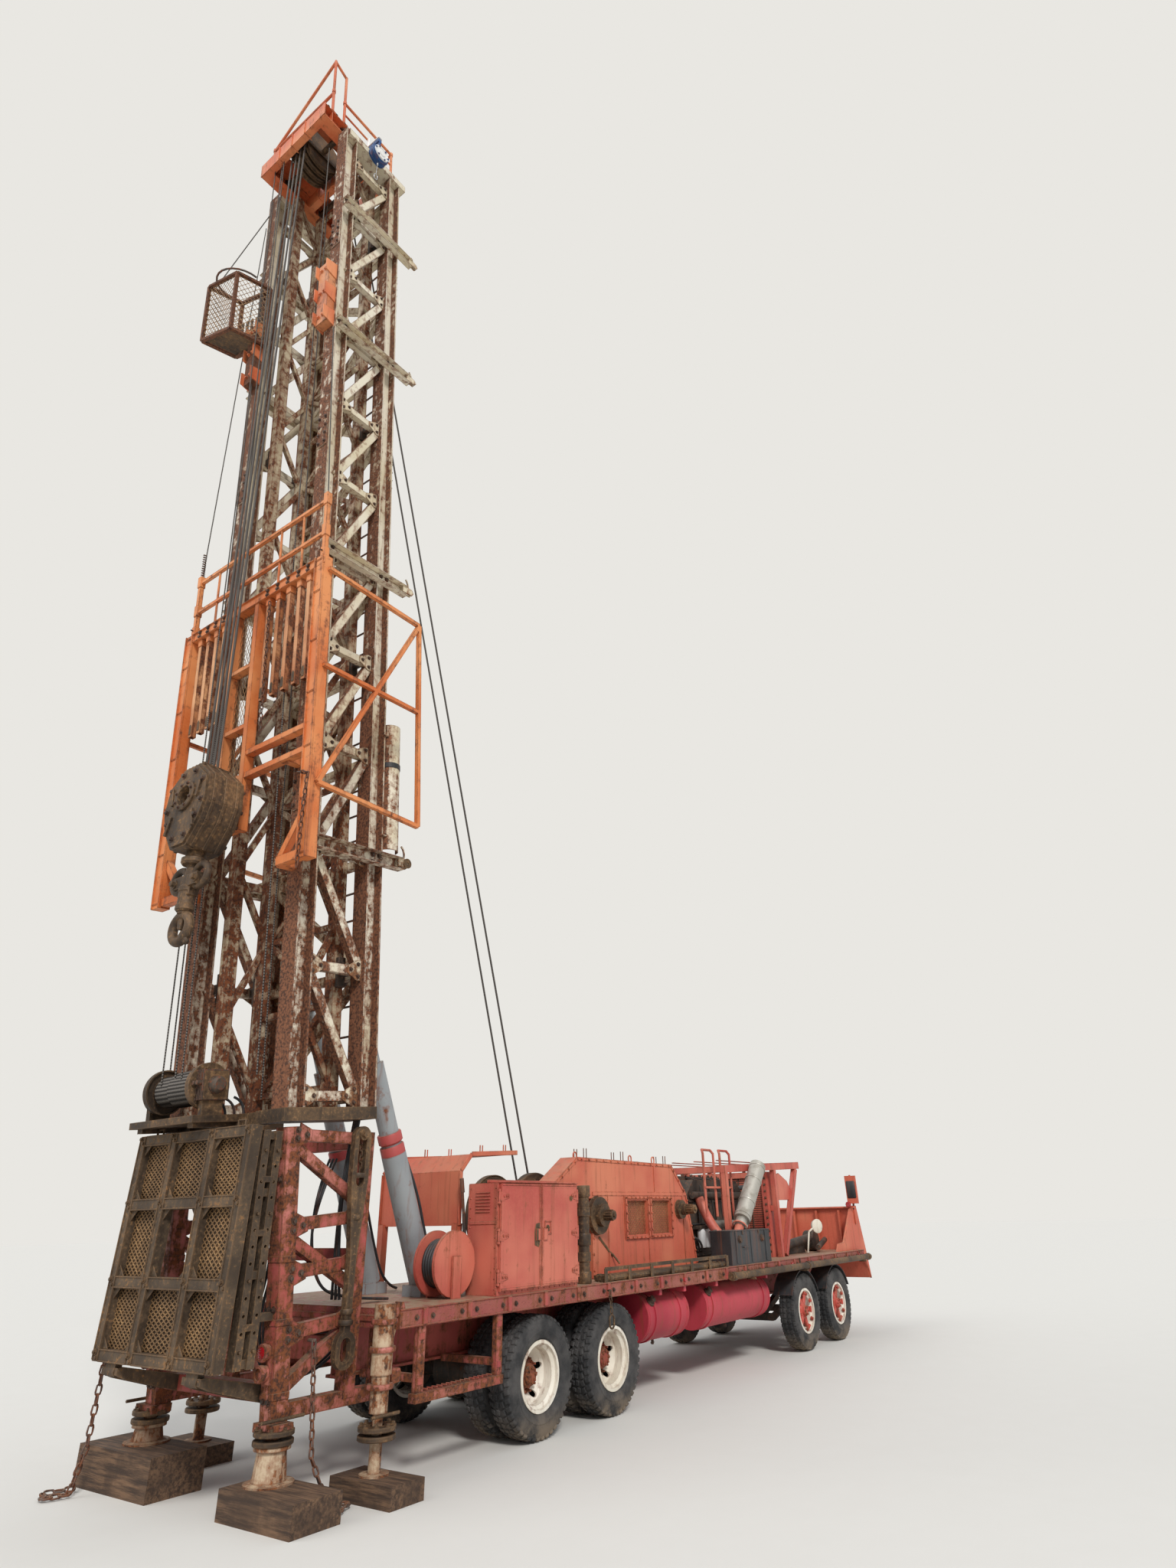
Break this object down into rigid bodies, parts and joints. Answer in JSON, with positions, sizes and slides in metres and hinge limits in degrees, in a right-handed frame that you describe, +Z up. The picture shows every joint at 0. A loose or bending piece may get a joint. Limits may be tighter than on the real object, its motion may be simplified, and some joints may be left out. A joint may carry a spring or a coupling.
{
  "type": "workover rig",
  "caption": "Workover rig with its telescoping lattice mast raised on a four-axle carrier, with drawworks, racking board, jacks and folding floor.",
  "frame": {"origin": "on the ground under the centre of the rig's overall box", "axes": "+X forward along the carrier, +Y to the carrier's left, +Z up"},
  "size_m": [14.7123, 3.18, 17.9893],
  "materials": {
    "red_paint": "faded, scraped",
    "orange_paint": "faded",
    "cream_paint": "flaking, rust bleeding through",
    "crimson_paint": "satin, dusty",
    "grey_steel": "worn, oily",
    "greasy_steel": "caked in old grease",
    "bright_steel": "worn",
    "black_paint": "dusty",
    "white_paint": "scraped",
    "blue_paint": "faded",
    "tyre": "dusty",
    "timber": "oil-soaked",
    "lamp_lens": "dusty"
  },
  "bodies": {
    "rig": {"board_side_frames": "orange_paint", "cabinet": "red_paint", "chain_guard": "red_paint", "chassis_rails": "red_paint", "crown_frame": "orange_paint", "crown_railing": "orange_paint", "crown_sheaves": "grey_steel", "deck": "red_paint", "deck_pipes": "grey_steel", "drive_axles": "black_paint", "drum_frame": "red_paint", "drums": "grey_steel", "elevator_link": "bright_steel", "engine": "grey_steel", "engine_frame": "red_paint", "floor_carrier": "red_paint", "floor_guides": "greasy_steel", "front_bulkhead": "red_paint", "gearbox": "crimson_paint", "hoist_lines": "greasy_steel", "hose_reel": "grey_steel", "inner_mast_front": "cream_paint", "inner_mast_sides": "cream_paint", "jacks": "red_paint", "lifeline_reel": "blue_paint", "mast_base": "red_paint", "mast_front": "cream_paint", "mast_side_left": "cream_paint", "mast_side_right": "cream_paint", "muffler": "bright_steel", "racking_fingers": "orange_paint", "racking_frame": "orange_paint", "raising_rams": "red_paint", "rod_basket": "orange_paint", "shaft_ends": "grey_steel", "steer_axles": "black_paint", "step_frames": "white_paint", "support_crossbeams": "red_paint", "support_frames": "red_paint", "tail_lights": "lamp_lens", "timber_pads": "timber", "tool_box": "black_paint", "travelling_block": "greasy_steel", "under_deck_tanks": "crimson_paint", "winch": "red_paint"},
    "cabinet_door_front": {"cabinet_door_front": "red_paint"},
    "cabinet_door_rear": {"cabinet_door_rear": "red_paint"},
    "knuckle_steer_1_left": {"knuckle_steer_1_left": "black_paint"},
    "knuckle_steer_1_right": {"knuckle_steer_1_right": "black_paint"},
    "knuckle_steer_2_left": {"knuckle_steer_2_left": "black_paint"},
    "knuckle_steer_2_right": {"knuckle_steer_2_right": "black_paint"},
    "wheel_drive_1_left": {"wheel_drive_1_left": "tyre"},
    "wheel_drive_1_right": {"wheel_drive_1_right": "tyre"},
    "wheel_drive_2_left": {"wheel_drive_2_left": "tyre"},
    "wheel_drive_2_right": {"wheel_drive_2_right": "tyre"},
    "wheel_steer_1_left": {"wheel_steer_1_left": "tyre"},
    "wheel_steer_1_right": {"wheel_steer_1_right": "tyre"},
    "wheel_steer_2_left": {"wheel_steer_2_left": "tyre"},
    "wheel_steer_2_right": {"wheel_steer_2_right": "tyre"},
    "work_floor": {"work_floor": "greasy_steel"}
  },
  "joints": [
    {"name": "spin_drive_1_right", "type": "hinge", "parent": "rig", "child": "wheel_drive_1_right", "pos_m": [-1.434, -1.08, 0.535], "axis": [0, 1, 0], "continuous": true},
    {"name": "spin_drive_1_left", "type": "hinge", "parent": "rig", "child": "wheel_drive_1_left", "pos_m": [-1.434, 1.08, 0.535], "axis": [0, 1, 0], "continuous": true},
    {"name": "spin_drive_2_right", "type": "hinge", "parent": "rig", "child": "wheel_drive_2_right", "pos_m": [-2.754, -1.08, 0.535], "axis": [0, 1, 0], "continuous": true},
    {"name": "spin_drive_2_left", "type": "hinge", "parent": "rig", "child": "wheel_drive_2_left", "pos_m": [-2.754, 1.08, 0.535], "axis": [0, 1, 0], "continuous": true},
    {"name": "turn_steer_1_right", "type": "hinge", "parent": "rig", "child": "knuckle_steer_1_right", "pos_m": [5.436, -0.8, 0.535], "axis": [0, 0, 1], "range_deg": [-25, 25]},
    {"name": "spin_steer_1_right", "type": "hinge", "parent": "knuckle_steer_1_right", "child": "wheel_steer_1_right", "pos_m": [5.436, -1.08, 0.535], "axis": [0, 1, 0], "continuous": true},
    {"name": "turn_steer_1_left", "type": "hinge", "parent": "rig", "child": "knuckle_steer_1_left", "pos_m": [5.436, 0.8, 0.535], "axis": [0, 0, 1], "range_deg": [-25, 25]},
    {"name": "spin_steer_1_left", "type": "hinge", "parent": "knuckle_steer_1_left", "child": "wheel_steer_1_left", "pos_m": [5.436, 1.08, 0.535], "axis": [0, 1, 0], "continuous": true},
    {"name": "turn_steer_2_right", "type": "hinge", "parent": "rig", "child": "knuckle_steer_2_right", "pos_m": [4.046, -0.8, 0.535], "axis": [0, 0, 1], "range_deg": [-20, 20]},
    {"name": "spin_steer_2_right", "type": "hinge", "parent": "knuckle_steer_2_right", "child": "wheel_steer_2_right", "pos_m": [4.046, -1.08, 0.535], "axis": [0, 1, 0], "continuous": true},
    {"name": "turn_steer_2_left", "type": "hinge", "parent": "rig", "child": "knuckle_steer_2_left", "pos_m": [4.046, 0.8, 0.535], "axis": [0, 0, 1], "range_deg": [-20, 20]},
    {"name": "spin_steer_2_left", "type": "hinge", "parent": "knuckle_steer_2_left", "child": "wheel_steer_2_left", "pos_m": [4.046, 1.08, 0.535], "axis": [0, 1, 0], "continuous": true},
    {"name": "open_door_rear", "type": "hinge", "parent": "rig", "child": "cabinet_door_rear", "pos_m": [-3.49, -1.238, 1.8], "axis": [0, 0, -1], "range_deg": [0, 110]},
    {"name": "open_door_front", "type": "hinge", "parent": "rig", "child": "cabinet_door_front", "pos_m": [-2.148, -1.238, 1.8], "axis": [0, 0, 1], "range_deg": [0, 110]},
    {"name": "lower_work_floor", "type": "hinge", "parent": "rig", "child": "work_floor", "pos_m": [-6.234, 0, 0.9], "axis": [0, -1, 0], "range_deg": [0, 90]}
  ],
  "couplings": [
    {"joint": "turn_steer_1_left", "follows": "turn_steer_1_right", "ratio": 1},
    {"joint": "turn_steer_2_right", "follows": "turn_steer_1_right", "ratio": 0.8},
    {"joint": "turn_steer_2_left", "follows": "turn_steer_1_right", "ratio": 0.8}
  ]
}
